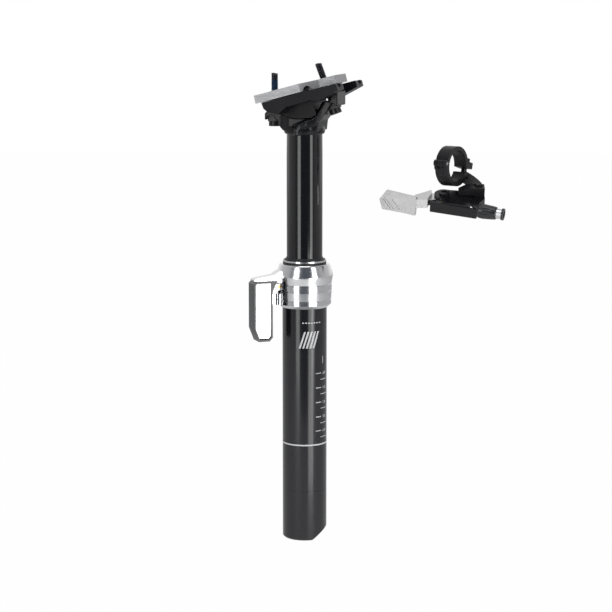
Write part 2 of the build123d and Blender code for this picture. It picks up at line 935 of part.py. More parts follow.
# Head: a round neck that flares into a yoke with a hollow saddle and an ear at each end
head_foot = rise
with BuildPart() as head:
    front = [(x, yoke_base + z) for x, z in scaled(yoke_front_shares, yoke_size)]
    rear = [(x, yoke_base + z) for x, z in scaled(yoke_rear_shares, yoke_size)]
    with BuildSketch(Plane.XZ):
        with BuildLine():
            Polyline(front + rear, close=True)
        make_face()
    extrude(amount=yoke_half, both=True)
    near = [(along * yoke_size, -across * ear_half_width) for across, along in plan_shares]
    far = [(along * yoke_size, across * ear_half_width) for across, along in reversed(plan_shares)]
    with BuildSketch(Plane.XY.offset(head_foot)):
        with BuildLine():
            Polyline(near + far, close=True)
        make_face()
    extrude(amount=rocker_radius, mode=Mode.INTERSECT)
    with BuildSketch(Plane.XZ):
        with BuildLine():
            Polyline(
                (0, head_foot),
                (neck_foot, head_foot),
                (head_neck, head_foot + head_base / 3),
                (head_neck, yoke_base),
                (yoke_half, yoke_base + head_base),
                (0, yoke_base + head_base),
                close=True,
            )
        make_face()
    revolve(axis=Axis.Z)
    with BuildSketch(Plane.XZ):
        with Locations((0, rocker_axis)):
            Circle(rocker_radius + moving_gap)
        with Locations((yoke_saddle_front - yoke_size, rocker_axis)):
            Rectangle(2 * yoke_size, 4 * yoke_size, mode=Mode.SUBTRACT)
        with Locations((yoke_saddle_rear + yoke_size, rocker_axis)):
            Rectangle(2 * yoke_size, 4 * yoke_size, mode=Mode.SUBTRACT)
    extrude(amount=2 * yoke_half, both=True, mode=Mode.SUBTRACT)
    with BuildSketch(Plane.XY.offset(head_foot)):
        Circle(stanchion_radius + seat_gap)
    extrude(amount=socket_depth, mode=Mode.SUBTRACT)
    with BuildSketch(Plane.XY.offset(head_foot)):
        Circle(stud_radius + seat_gap)
    extrude(amount=stud_top - head_foot, mode=Mode.SUBTRACT)
    for frame, washer in ((front_seat, front_washer), (rear_seat, rear_washer)):
        with BuildSketch(side_of(frame)):
            Circle(washer + moving_gap)
            with Locations((0, -washer)):
                Rectangle(2 * (bolt_head_radius + overrun), 2 * washer + 2 * moving_gap)
        extrude(amount=2 * yoke_half, both=True, mode=Mode.SUBTRACT)
        with BuildSketch(frame):
            Rectangle(2 * (bolt_radius + 2 * overrun), 2 * (bolt_radius + moving_gap))
        extrude(amount=yoke_half, mode=Mode.SUBTRACT)
write(head, "head")


def half_washer(frame, radius):
    with BuildPart() as piece:
        with BuildSketch(side_of(frame)):
            Circle(radius)
            with Locations((0, -washer_flat - radius)):
                Rectangle(2 * radius, 2 * radius, mode=Mode.SUBTRACT)
        extrude(amount=washer_half, both=True)
        with BuildSketch(frame):
            Circle(bolt_radius + seat_gap)
        extrude(amount=radius, both=True, mode=Mode.SUBTRACT)
    return piece


for name, frame, washer, length in (
    ("front", front_seat, front_washer, front_bolt_length),
    ("rear", rear_seat, rear_washer, rear_bolt_length),
):
    base = frame.offset(-washer_flat)
    write(half_washer(frame, washer), f"{name}_half_washer")
    write(
        bolt(base, bolt_radius, length, bolt_head_radius, bolt_head_height, bolt_hex),
        f"{name}_clamp_bolt",
    )


def barrel_nut(frame, center):
    with BuildPart() as piece:
        with BuildSketch(Plane(origin=center, x_dir=frame.x_dir, z_dir=(0, -1, 0))):
            Circle(nut_radius)
        extrude(amount=nut_half, both=True)
        with BuildSketch(Plane(origin=center, x_dir=frame.x_dir, z_dir=frame.z_dir)):
            Circle(bolt_radius + moving_gap)
        extrude(amount=2 * nut_radius, both=True, mode=Mode.SUBTRACT)
    return piece


write(barrel_nut(front_seat, front_nut_at), "front_barrel_nut")
write(barrel_nut(rear_seat, rear_nut_at), "rear_barrel_nut")

# Upper clamp: a bar over both bolts, short wings over the rails and a block round each nut
with BuildPart() as upper_clamp:
    with BuildSketch(clamp_side):
        with BuildLine():
            Polyline(
                (bar_front + plate_height / 4, split_gap),
                (bar_front, plate_height / 4),
                (bar_front, plate_height - plate_height / 4),
                (bar_front + plate_height / 4, plate_height),
                (bar_rear - plate_height / 2, plate_height),
                (bar_rear, plate_height / 2),
                (bar_rear, split_gap),
                close=True,
            )
        make_face()
    extrude(amount=bar_half, both=True)
    with BuildSketch(clamp_flat.offset(split_gap)):
        with Locations(((wing_front + wing_rear) / 2, 0)):
            Rectangle(wing_rear - wing_front, 2 * wing_outer)
        with BuildLine():
            Polyline(
                (wing_rear, -wing_outer),
                (tail_root, -tail_half),
                (bar_rear, -tail_half),
                (bar_rear, tail_half),
                (tail_root, tail_half),
                (wing_rear, wing_outer),
                close=True,
            )
        make_face()
    extrude(amount=plate_height - split_gap)
    with BuildSketch(clamp_flat.offset(split_gap)):
        for side in (-1, 1):
            with BuildLine():
                Polyline(
                    (wing_rear, side * wing_outer),
                    (tail_root, side * tail_half),
                    (bar_rear + overrun, side * tail_half),
                    (bar_rear + overrun, side * wing_outer),
                    close=True,
                )
            make_face()
    extrude(amount=plate_height, mode=Mode.SUBTRACT)
    for x in (front_nut_x, rear_nut_x):
        with BuildSketch(clamp_flat.offset(-block_depth)):
            with Locations((x, 0)):
                Rectangle(2 * (nut_radius + block_wall), 2 * block_half)
        extrude(amount=block_depth + split_gap)
    with BuildSketch(clamp_side):
        for x in (front_nut_x, rear_nut_x):
            with Locations((x, nut_rise)):
                Circle(nut_radius + run_fit)
    extrude(amount=block_half, both=True, mode=Mode.SUBTRACT)
    with BuildSketch(clamp_cross):
        with Locations((rail_offset, 0), (-rail_offset, 0)):
            Circle(rail_radius)
    extrude(amount=2 * wing_outer, both=True, mode=Mode.SUBTRACT)
    for frame, center, swing in (
        (front_seat, front_nut_at, front_swing),
        (rear_seat, rear_nut_at, rear_swing),
    ):
        for share in swing_shares:
            shank = Plane(origin=center, x_dir=frame.x_dir, z_dir=frame.z_dir)
            with BuildSketch(shank.rotated((0, share * swing, 0))):
                Circle(bolt_radius + moving_gap)
            extrude(amount=2 * plate_height, both=True, mode=Mode.SUBTRACT)
write(upper_clamp, "upper_saddle_clamp")

# Lower cradle: a rocker that sits in the yoke, with a grooved wing under each rail
with BuildPart() as lower_cradle:
    with BuildSketch(Plane.XZ):
        with Locations((0, rocker_axis)):
            Circle(rocker_radius)
    extrude(amount=bar_half, both=True)
    with BuildSketch(clamp_side):
        with Locations(((cradle_front + cradle_back) / 2, -rocker_radius / 2 - split_gap)):
            Rectangle(cradle_back - cradle_front, rocker_radius)
    extrude(amount=bar_half, both=True, mode=Mode.INTERSECT)
    with BuildSketch(clamp_side):
        with BuildLine():
            Polyline(scaled(wing_shares, cradle_rear), close=True)
        make_face()
    extrude(amount=wing_outer, both=True)
    with BuildSketch(clamp_side):
        with Locations((cradle_back + wing_outer, -wing_outer), (cradle_front - wing_outer, -wing_outer)):
            Rectangle(2 * wing_outer, 4 * wing_outer)
    extrude(amount=bar_half, both=True, mode=Mode.SUBTRACT)
    with BuildSketch(clamp_cross):
        with Locations((rail_offset, 0), (-rail_offset, 0)):
            Circle(rail_radius)
    extrude(amount=2 * wing_outer, both=True, mode=Mode.SUBTRACT)
write(lower_cradle, "lower_saddle_cradle")

# Remote frames: the lever's pivot plane, the cable's line in it, and the bar clamp's own plane
right = direction(view_angle)
lean = radians(remote_lean)
pivot_axis = Vector(0, 0, cos(lean)) + Vector(right.Y, -right.X, 0) * sin(lean)
lever_flat = Plane(origin=(remote_x, remote_y, remote_z), x_dir=right, z_dir=pivot_axis)
cable = direction(cable_angle)
foot_of_cable = Vector(cable.Y, -cable.X, 0) * moment_arm
cable_height = -(pivot_head_height + top_plate + seat_gap + hub_thickness / 2 + moving_gap)
cable_flat = Plane(
    origin=lever_flat.from_local_coords(foot_of_cable),
    x_dir=lever_flat.from_local_coords(foot_of_cable + cable) - lever_flat.from_local_coords(foot_of_cable),
    z_dir=pivot_axis,
)
cable_line = Plane(
    origin=cable_flat.from_local_coords((0, 0, cable_height)),
    x_dir=pivot_axis,
    z_dir=cable_flat.x_dir,
)
plate_low = -pivot_head_height - top_plate
hub_high = plate_low - moving_gap
hub_low = hub_high - hub_thickness
base_high = hub_low - moving_gap
base_low = base_high - base_plate

# Remote body: a base plate, a top plate over the lever's hub, the beam that covers the cable
with BuildPart() as remote_body:
    with BuildSketch(lever_flat.offset(base_low)):
        with BuildLine():
            Polyline(scaled(base_shares, remote_span), close=True)
        make_face()
        Circle(plate_radius)
    extrude(amount=base_plate)
    with BuildSketch(lever_flat.offset(base_low)):
        with BuildLine():
            Polyline(scaled(shoulder_shares, remote_span), close=True)
        make_face()
    extrude(amount=plate_low + top_plate / 2 - base_low)
    with BuildSketch(lever_flat.offset(plate_low)):
        Circle(plate_radius)
        with BuildLine():
            Polyline(scaled(top_shares, remote_span), close=True)
        make_face()
    extrude(amount=top_plate)
    with BuildSketch(cable_flat.offset(base_low)):
        with Locations(((beam_left + beam_right) / 2, -beam_front + beam_wall / 2)):
            Rectangle(beam_right - beam_left, beam_wall)
        with Locations(((beam_block + beam_right) / 2, 0)):
            Rectangle(beam_right - beam_block, 2 * beam_front)
    extrude(amount=beam_height)
    with BuildSketch(cable_flat.offset(base_low)):
        with Locations(((beam_left + beam_step) / 2, -beam_front + beam_wall / 2)):
            Rectangle(beam_step - beam_left, beam_wall)
    extrude(amount=beam_height + beam_rise)
    with BuildSketch(cable_line.offset(beam_block - overrun)):
        Circle(barrel_radius + run_fit)
    extrude(amount=remote_span, mode=Mode.SUBTRACT)
    with BuildSketch(lever_flat):
        Circle(bolt_radius + seat_gap)
    extrude(amount=base_low - overrun, mode=Mode.SUBTRACT)
    with BuildSketch(lever_flat.offset(base_low)):
        with Locations((foot_x, 0)):
            Circle(clamp_bolt + seat_gap)
    extrude(amount=-base_low, mode=Mode.SUBTRACT)
    with BuildSketch(lever_flat.offset(base_low)):
        with Locations((foot_x, 0)):
            Circle(clamp_bolt_head + seat_gap)
    extrude(amount=clamp_bolt_height, mode=Mode.SUBTRACT)
write(remote_body, "remote_body")

lever_pivot = bolt(
    Plane(
        origin=lever_flat.from_local_coords((0, 0, -pivot_head_height)),
        x_dir=right,
        z_dir=-pivot_axis,
    ),
    bolt_radius,
    -pivot_head_height - base_low,
    pivot_head_radius,
    pivot_head_height,
    bolt_hex,
)
write(lever_pivot, "remote_pivot_bolt")
lever_bush = sleeve(bush_radius, bolt_radius + seat_gap, base_high, plate_low, lever_flat)
write(lever_bush, "remote_lever_bush")

# Remote lever: hub, cable lug, raised arm and the thumb paddle
paddle_flat = Plane(
    origin=lever_flat.from_local_coords((paddle_x, paddle_y, 0)),
    x_dir=lever_flat.from_local_coords((-cos(radians(paddle_angle)), -sin(radians(paddle_angle)), 0))
    - lever_flat.origin,
    z_dir=lever_flat.from_local_coords((sin(radians(paddle_angle)), -cos(radians(paddle_angle)), 0))
    - lever_flat.origin,
)
with BuildPart() as remote_lever:
    with BuildSketch(lever_flat.offset(hub_low)):
        Circle(hub_radius)
        with BuildLine():
            Polyline(scaled(lug_shares, remote_span), close=True)
        make_face()
        with BuildLine():
            Polyline(scaled(arm_shares, remote_span), close=True)
        make_face()
        with Locations(foot_of_cable):
            Circle(lug_radius)
    extrude(amount=hub_thickness)
    with BuildSketch(lever_flat.offset(hub_low)):
        with BuildLine():
            Polyline(scaled(raised_shares, remote_span), close=True)
        make_face()
    extrude(amount=hub_thickness + lever_step)
    with BuildSketch(paddle_flat):
        with BuildLine():
            Polyline([(x, -y) for x, y in scaled(paddle_shares, remote_span)], close=True)
        make_face()
    extrude(amount=-paddle_thickness)
    with BuildSketch(lever_flat):
        Circle(bush_radius + run_fit)
        with Locations(foot_of_cable):
            Circle(anchor_radius + seat_gap)
    extrude(amount=base_low, mode=Mode.SUBTRACT)
write(remote_lever, "remote_lever")
remote_anchor = rod(
    anchor_radius, hub_low, hub_high, Plane(origin=cable_flat.origin, x_dir=right, z_dir=pivot_axis)
)
write(remote_anchor, "remote_cable_anchor")

# Barrel adjuster along the cable's line
knob_start = beam_right + moving_gap
knob_end = knob_start + knob_length
barrel_end = knob_end + barrel_show
with BuildPart() as adjuster_knob:
    with BuildSketch(Plane(origin=cable_line.origin, x_dir=cable_line.x_dir, z_dir=cable_line.y_dir)):
        with BuildLine():
            Polyline(
                [
                    (radius * knob_length, -(knob_start + along * knob_length))
                    for along, radius in knob_shares
                ],
                close=True,
            )
        make_face()
    revolve(axis=Axis(cable_line.origin, cable_line.z_dir))
write(adjuster_knob, "adjuster_knob")
with BuildPart() as adjuster_barrel:
    with BuildSketch(cable_line.offset(beam_block + overrun)):
        Circle(barrel_radius)
    extrude(amount=knob_end - beam_block - overrun)
    with BuildSketch(cable_line.offset(knob_end)):
        Circle(barrel_radius + beam_rise)
    extrude(amount=barrel_show)
    with BuildSketch(cable_line.offset(beam_block)):
        Circle(wire_radius)
    extrude(amount=remote_span, mode=Mode.SUBTRACT)
    with BuildSketch(cable_line.offset(barrel_end - housing_seat * 2)):
        Circle(housing_radius)
    extrude(amount=remote_span, mode=Mode.SUBTRACT)
write(adjuster_barrel, "adjuster_barrel")
adjuster_ring = sleeve(
    barrel_radius + 2 * beam_rise, housing_radius, barrel_end, barrel_end + end_ring, cable_line
)
write(adjuster_ring, "adjuster_end_ring")

# Handlebar clamp: base half with its bracket and foot, hinged band, pin and bolts
yaw = radians(bar_yaw)
toward = Vector(right.Y, -right.X, 0)
bar_axis = right * sin(yaw) + toward * cos(yaw)
across = right * cos(yaw) - toward * sin(yaw)
ring_plane = Plane(origin=(clamp_x, clamp_y, clamp_z), x_dir=across, z_dir=bar_axis)


def ring_point(radius, angle):
    return (radius * cos(radians(angle)), radius * sin(radians(angle)))


def band_half_sketch(sign, gap):
    # One half of the ring, cut along the line from the hinge to the gap
    cut = (gap_angle + hinge_angle - 180) / 2
    Circle(band_radius)
    Circle(handlebar_radius, mode=Mode.SUBTRACT)
    with Locations(Location((0, 0), cut)):
        with Locations((0, sign * (gap - band_radius))):
            Rectangle(4 * band_radius, 2 * band_radius, mode=Mode.SUBTRACT)


hinge_at = ring_point(band_radius, hinge_angle)
lug_at = ring_point(band_radius + (lug_reach - band_radius) / 2, gap_angle)
lug_up = across * -sin(radians(gap_angle)) + Vector(0, 0, cos(radians(gap_angle)))
lug_plane = Plane(
    origin=ring_plane.from_local_coords((lug_at[0], lug_at[1], 0)), x_dir=bar_axis, z_dir=lug_up
)
lug_stack = band_gap / 2 + lug_height
with BuildPart() as band:
    with BuildSketch(ring_plane):
        band_half_sketch(1, hinge_gap)
        with Locations(Location(lug_at, gap_angle)):
            with Locations((-band_wall / 2, band_gap / 2 + lug_height / 2)):
                Rectangle(lug_reach - band_radius + band_wall, lug_height)
            with Locations((0, 0)):
                Rectangle(2 * lug_reach, band_gap, mode=Mode.SUBTRACT)
        with Locations(hinge_at):
            Circle(hinge_radius)
            Circle(hinge_pin + run_fit, mode=Mode.SUBTRACT)
        Circle(handlebar_radius, mode=Mode.SUBTRACT)
    extrude(amount=band_half, both=True)
    for side in (-1, 1):
        with BuildSketch(ring_plane.offset(side * (band_half / 2 - moving_gap))):
            with Locations(hinge_at):
                Circle(hinge_radius + moving_gap)
        extrude(amount=side * band_half, mode=Mode.SUBTRACT)
    with BuildSketch(lug_plane):
        Circle(clamp_bolt + 2 * moving_gap)
    extrude(amount=2 * lug_stack, mode=Mode.SUBTRACT)
write(band, "bar_clamp_band")

# Clamp base: the lower half of the ring, its lug, a bracket that curves down, its gusset and the foot
foot_base = lever_flat.from_local_coords((foot_x, 0, plate_low + top_plate / 2))
foot_flat = Plane(origin=foot_base, x_dir=right, z_dir=pivot_axis)
lug_low = lug_plane.from_local_coords((0, 0, -band_gap / 2 - lug_height / 2))
foot_top = foot_flat.from_local_coords((0, 0, foot_height - bracket_thick / 2))
bracket_middle = (lug_low + foot_top) / 2 + across * bracket_bulge
with BuildPart() as clamp_base:
    with BuildSketch(ring_plane):
        band_half_sketch(-1, 0)
        with Locations(Location(lug_at, gap_angle)):
            with Locations((-band_wall / 2, -band_gap / 2 - lug_height / 2)):
                Rectangle(lug_reach - band_radius + band_wall, lug_height)
            Rectangle(2 * lug_reach, band_gap, mode=Mode.SUBTRACT)
        Circle(handlebar_radius, mode=Mode.SUBTRACT)
        with Locations(hinge_at):
            Circle(hinge_radius + moving_gap, mode=Mode.SUBTRACT)
    extrude(amount=band_half, both=True)
    for side in (-1, 1):
        with BuildSketch(ring_plane.offset(side * band_half)):
            with Locations(hinge_at):
                Circle(hinge_radius)
            with Locations(ring_point(band_radius - band_wall / 2, hinge_angle + hinge_span)):
                Circle(band_wall / 2 + hinge_pin)
            with Locations(hinge_at):
                Circle(hinge_pin + seat_gap, mode=Mode.SUBTRACT)
            Circle(handlebar_radius, mode=Mode.SUBTRACT)
        extrude(amount=-side * band_half / 2)
    with BuildSketch(foot_flat):
        Rectangle(2 * foot_half, 2 * foot_half)
    extrude(amount=foot_height)
    with BuildSketch(Plane(origin=foot_base, x_dir=right, z_dir=right.cross(pivot_axis))):
        with BuildLine():
            Polyline(
                (0, gusset_low),
                (-gusset_reach, gusset_low),
                (-gusset_reach, gusset_rise),
                (-gusset_step, foot_height),
                (0, foot_height),
                close=True,
            )
        make_face()
    extrude(amount=foot_half, both=True)
    with BuildLine() as bracket_path:
        ThreePointArc(lug_low, bracket_middle, foot_top)
    with BuildSketch(Plane(lug_low, x_dir=bar_axis, z_dir=bracket_path.line % 0)):
        Rectangle(2 * foot_half, bracket_thick)
    sweep()
    with BuildSketch(lug_plane):
        Circle(clamp_bolt + seat_gap)
    extrude(amount=-lug_stack, mode=Mode.SUBTRACT)
    with BuildSketch(foot_flat):
        Circle(clamp_bolt + seat_gap)
    extrude(amount=foot_hole, mode=Mode.SUBTRACT)
    with BuildSketch(ring_plane):
        Circle(handlebar_radius)
    extrude(amount=2 * band_half, both=True, mode=Mode.SUBTRACT)
write(clamp_base, "bar_clamp_base")

hinge_plane = Plane(
    origin=ring_plane.from_local_coords((hinge_at[0], hinge_at[1], 0)), x_dir=across, z_dir=bar_axis
)
write(rod(hinge_pin, -band_half, band_half, hinge_plane), "clamp_hinge_pin")
clamp_head = Plane(
    origin=lug_plane.from_local_coords((0, 0, lug_stack + moving_gap)), x_dir=bar_axis, z_dir=-lug_up
)
write(
    bolt(clamp_head, clamp_bolt, 2 * lug_stack, clamp_bolt_head, clamp_bolt_height, clamp_bolt_hex),
    "bar_clamp_bolt",
)
foot_seat = Plane(
    origin=lever_flat.from_local_coords((foot_x, 0, base_low + clamp_bolt_height)),
    x_dir=right,
    z_dir=pivot_axis,
)
write(
    bolt(foot_seat, clamp_bolt, foot_bolt_length, clamp_bolt_head, clamp_bolt_height, clamp_bolt_hex),
    "clamp_foot_bolt",
)
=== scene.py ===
import json
from math import cos, pi, radians, sin

import bmesh
import bpy
from mathutils import Matrix, Vector


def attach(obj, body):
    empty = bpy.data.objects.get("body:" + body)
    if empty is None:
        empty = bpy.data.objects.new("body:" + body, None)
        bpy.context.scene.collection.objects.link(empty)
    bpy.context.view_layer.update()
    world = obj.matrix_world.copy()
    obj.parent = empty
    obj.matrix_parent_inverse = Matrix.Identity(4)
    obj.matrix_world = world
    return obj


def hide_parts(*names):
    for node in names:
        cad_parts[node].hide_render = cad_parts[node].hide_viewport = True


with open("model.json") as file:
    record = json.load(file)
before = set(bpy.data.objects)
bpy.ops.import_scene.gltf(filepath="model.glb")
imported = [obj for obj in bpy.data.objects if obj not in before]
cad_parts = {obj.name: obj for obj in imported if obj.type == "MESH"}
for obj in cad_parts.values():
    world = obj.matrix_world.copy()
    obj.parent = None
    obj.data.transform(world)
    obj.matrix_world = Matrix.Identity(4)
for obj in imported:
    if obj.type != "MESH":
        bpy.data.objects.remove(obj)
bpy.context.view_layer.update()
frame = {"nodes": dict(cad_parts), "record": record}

# Dropper seatpost with its bar remote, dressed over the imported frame.
# The sizes named here are in millimetres unless they say otherwise. +Z runs up the post's axis.
mm = 0.001
VIEW_AZIMUTH = 20.0
VIEW_ELEVATION = 9.2
VIEW_DISTANCE = 1.5  # metres
TUBE = 15.8
azimuth = radians(VIEW_AZIMUTH)
elevation = radians(VIEW_ELEVATION)
toward = Vector((sin(azimuth) * cos(elevation), -cos(azimuth) * cos(elevation), sin(elevation)))
joints = {joint["name"]: joint for joint in frame["record"]["behaviour"]["joints"]}


def joint_place(name):
    return Vector(joints[name]["pos_m"])


def joint_way(name):
    return Vector(joints[name]["axis"]).normalized()


# Working helpers
SEAM = 2e-6  # metres
FLAT_ANGLE = 0.6
EDGE_ANGLE = 30.0
SHADE_ANGLE = 35.0
FACE_WEIGHT = 100


def deselect():
    bpy.ops.object.select_all(action="DESELECT")


def only(piece):
    deselect()
    piece.select_set(True)
    bpy.context.view_layer.objects.active = piece


def open_mesh(piece):
    """Starts work on a piece's mesh with all of it selected."""
    only(piece)
    bpy.ops.object.mode_set(mode="EDIT")
    bpy.ops.mesh.select_all(action="SELECT")


def close_mesh():
    bpy.ops.object.mode_set(mode="OBJECT")


def apply_modifiers(piece):
    only(piece)
    for modifier in list(piece.modifiers):
        bpy.ops.object.modifier_apply(modifier=modifier.name)


def settle(piece):
    """Puts the piece's place into its mesh."""
    only(piece)
    bpy.ops.object.transform_apply(location=True, rotation=True, scale=True)


def soft_shade(piece, degrees=SHADE_ANGLE):
    only(piece)
    bpy.ops.object.shade_smooth_by_angle(angle=radians(degrees))


def level_faces(piece):
    """Lets the wide faces rule the shading, so that flats stay flat beside their bevels."""
    weights = piece.modifiers.new("weights", "WEIGHTED_NORMAL")
    weights.keep_sharp = True
    weights.weight = FACE_WEIGHT
    apply_modifiers(piece)


def paint(piece, material):
    piece.data.materials.clear()
    piece.data.materials.append(material)


def standing(place, way):
    """The place and turn of a piece drawn along z that stands along another way."""
    return Matrix.Translation(place) @ way.to_track_quat("Z", "Y").to_matrix().to_4x4()


def emptied_plane(name):
    """A new piece with an empty mesh, open for drawing."""
    deselect()
    bpy.ops.mesh.primitive_plane_add(size=mm)
    piece = bpy.context.object
    piece.name = name
    bpy.ops.object.mode_set(mode="EDIT")
    shape = bmesh.from_edit_mesh(piece.data)
    bmesh.ops.delete(shape, geom=shape.verts[:], context="VERTS")
    return piece, shape


def join(pieces):
    deselect()
    for piece in pieces:
        piece.select_set(True)
    bpy.context.view_layer.objects.active = pieces[0]
    if len(pieces) > 1:
        bpy.ops.object.join()
    return bpy.context.view_layer.objects.active


def cut_away(piece, cutters, name):
    """Takes the joined cutters out of a piece."""
    tool = join(cutters)
    tool.name = name
    difference = piece.modifiers.new(name, "BOOLEAN")
    difference.operation = "DIFFERENCE"
    difference.solver = "EXACT"
    difference.object = tool
    apply_modifiers(piece)
    only(tool)
    bpy.ops.object.delete()
    soft_shade(piece)
    level_faces(piece)


def bare_copy(node):
    """The part's own shape as a new piece, its seams merged."""
    source = frame["nodes"][node]
    piece = source.copy()
    piece.data = source.data.copy()
    piece.name = node + "_finished"
    for key in list(piece.keys()):
        del piece[key]
    piece.parent = None
    bpy.context.scene.collection.objects.link(piece)
    open_mesh(piece)
    bpy.ops.mesh.remove_doubles(threshold=SEAM)
    close_mesh()
    return piece


def softened(node, width, material, body, segments=2):
    """A copy of a machined part with its edges broken by a small bevel."""
    piece = bare_copy(node)
    open_mesh(piece)
    bpy.ops.mesh.dissolve_limited(angle_limit=radians(FLAT_ANGLE))
    close_mesh()
    bevel = piece.modifiers.new("edge", "BEVEL")
    bevel.width = width * mm
    bevel.segments = segments
    bevel.limit_method = "ANGLE"
    bevel.angle_limit = radians(EDGE_ANGLE)
    bevel.use_clamp_overlap = True
    bevel.harden_normals = False
    apply_modifiers(piece)
    soft_shade(piece)
    level_faces(piece)
    paint(piece, material)
    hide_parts(node)
    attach(piece, body)
    return piece


# Finishes. The shares say how far roughness and tone vary over a surface.
EVEN_SPAN = (0.3, 0.7)
MARKED_SPAN = (0.25, 0.75)
DRAWN_ROUGH, DRAWN_TONE = (0.85, 1.2), (0.8, 1.25)
BRUSHED_ROUGH, BRUSHED_TONE = (0.7, 1.35), (0.93, 1.05)
CAST_ROUGH, CAST_TONE = (0.88, 1.12), (0.85, 1.2)
DRAWN_COAT, DRAWN_COAT_ROUGH, CAST_COAT_ROUGH, PLAIN_COAT_ROUGH = 0.3, 0.06, 0.2, 0.05
DRAWN_RELIEF = 0.03
DRAWN_DEPTH, BRUSHED_DEPTH, CAST_DEPTH = 0.00002, 0.00003, 0.00004  # metres
BRUSHED_DETAIL, FINE_DETAIL, BROAD_DETAIL = 4.0, 3.0, 2.0
BROAD_SHARE = 14.0


def finish(name, color, metallic, roughness, coat=0.0, coat_roughness=PLAIN_COAT_ROUGH):
    material = bpy.data.materials.new(name)
    material.use_nodes = True
    shader = material.node_tree.nodes["Principled BSDF"]
    shader.inputs["Base Color"].default_value = (*color, 1.0)
    shader.inputs["Metallic"].default_value = metallic
    shader.inputs["Roughness"].default_value = roughness
    shader.inputs["Coat Weight"].default_value = coat
    shader.inputs["Coat Roughness"].default_value = coat_roughness
    return material, material.node_tree.nodes, material.node_tree.links, shader


def object_pattern(nodes, links, scale):
    place = nodes.new("ShaderNodeTexCoord")
    mapping = nodes.new("ShaderNodeMapping")
    mapping.inputs["Scale"].default_value = scale
    links.new(place.outputs["Object"], mapping.inputs["Vector"])
    return mapping.outputs["Vector"]


def ramp(nodes, links, source, span, values):
    """Stretches a source's span over a pair of values."""
    stretch = nodes.new("ShaderNodeMapRange")
    stretch.inputs["From Min"].default_value, stretch.inputs["From Max"].default_value = span
    stretch.inputs["To Min"].default_value, stretch.inputs["To Max"].default_value = values
    links.new(source, stretch.inputs["Value"])
    return stretch.outputs["Result"]


def grain(nodes, links, vector, scale, detail):
    noise = nodes.new("ShaderNodeTexNoise")
    noise.inputs["Scale"].default_value = scale
    noise.inputs["Detail"].default_value = detail
    links.new(vector, noise.inputs["Vector"])
    return noise.outputs["Fac"]


def relief(nodes, links, shader, height, strength, distance):
    bump = nodes.new("ShaderNodeBump")
    bump.inputs["Strength"].default_value = strength
    bump.inputs["Distance"].default_value = distance
    links.new(height, bump.inputs["Height"])
    links.new(bump.outputs["Normal"], shader.inputs["Normal"])


def varied(nodes, links, shader, source, span, color, roughness, rough_shares, tone_shares):
    """Lets a pattern vary the roughness and the tone of a surface."""
    rough = [roughness * share for share in rough_shares]
    links.new(ramp(nodes, links, source, span, rough), shader.inputs["Roughness"])
    mix = nodes.new("ShaderNodeMix")
    mix.data_type = "RGBA"
    for socket, share in zip("AB", tone_shares):
        mix.inputs[socket].default_value = (*(min(1.0, part * share) for part in color), 1.0)
    links.new(source, mix.inputs["Factor"])
    links.new(mix.outputs["Result"], shader.inputs["Base Color"])


def anodised(name, color, roughness, stretch):
    """Drawn and anodised tube: faint streaks along the tube."""
    material, nodes, links, shader = finish(name, color, 0.0, roughness, DRAWN_COAT, DRAWN_COAT_ROUGH)
    streaks = grain(nodes, links, object_pattern(nodes, links, stretch), 1.0, FINE_DETAIL)
    varied(nodes, links, shader, streaks, EVEN_SPAN, color, roughness, DRAWN_ROUGH, DRAWN_TONE)
    relief(nodes, links, shader, streaks, DRAWN_RELIEF, DRAWN_DEPTH)
    return material


def brushed(name, color, roughness, stretch, strength=0.08):
    """Bare or polished metal with fine tool marks along one direction."""
    material, nodes, links, shader = finish(name, color, 1.0, roughness)
    marks = grain(nodes, links, object_pattern(nodes, links, stretch), 1.0, BRUSHED_DETAIL)
    varied(nodes, links, shader, marks, MARKED_SPAN, color, roughness, BRUSHED_ROUGH, BRUSHED_TONE)
    relief(nodes, links, shader, marks, strength, BRUSHED_DEPTH)
    return material


def cast(name, color, roughness, scale, strength, metallic=0.0, coat=0.0, level=0.5):
    """Blasted, moulded or forged surface with an even fine grain."""
    material, nodes, links, shader = finish(name, color, metallic, roughness, coat, CAST_COAT_ROUGH)
    shader.inputs["Specular IOR Level"].default_value = level
    pattern = object_pattern(nodes, links, (1, 1, 1))
    fine = grain(nodes, links, pattern, scale, FINE_DETAIL)
    broad = grain(nodes, links, pattern, scale / BROAD_SHARE, BROAD_DETAIL)
    varied(nodes, links, shader, broad, EVEN_SPAN, color, roughness, CAST_ROUGH, CAST_TONE)
    relief(nodes, links, shader, fine, strength, CAST_DEPTH)
    return material


# Name, colour, roughness, and how the marks stretch along x, y and z
tube_black = anodised("gloss_black_tube", (0.009, 0.009, 0.011), 0.17, (260, 260, 5))
stanchion_black = anodised("polished_black_stanchion", (0.006, 0.006, 0.007), 0.1, (300, 300, 4))
clamp_silver = brushed("satin_silver_clamp", (0.47, 0.47, 0.48), 0.55, (120, 2600, 2600), 0.03)
collar_silver = brushed("polished_silver_collar", (0.80, 0.80, 0.81), 0.17, (40, 40, 2600), 0.06)
ring_steel = brushed("bright_ring", (0.75, 0.75, 0.77), 0.2, (80, 80, 2000))
key_brass = brushed("drawn_brass", (0.72, 0.5, 0.2), 0.3, (900, 900, 60))
plate_mirror = brushed("mirror_plate", (0.74, 0.76, 0.79), 0.09, (500, 500, 30), 0.02)
# Brighter metal for the mirror plate's flat rim: a painted highlight standing in for the light a
# chamfer would catch
painted_highlight_silver = brushed("painted_highlight_rim", (0.85, 0.85, 0.86), 0.16, (500, 500, 60), 0.03)
inner_aluminium = brushed("machined_aluminium", (0.62, 0.62, 0.64), 0.3, (60, 60, 1600))
inner_steel = brushed("ground_steel", (0.5, 0.51, 0.53), 0.28, (60, 60, 1600))
nut_steel = brushed("turned_nut_steel", (0.35, 0.35, 0.37), 0.3, (900, 60, 900))
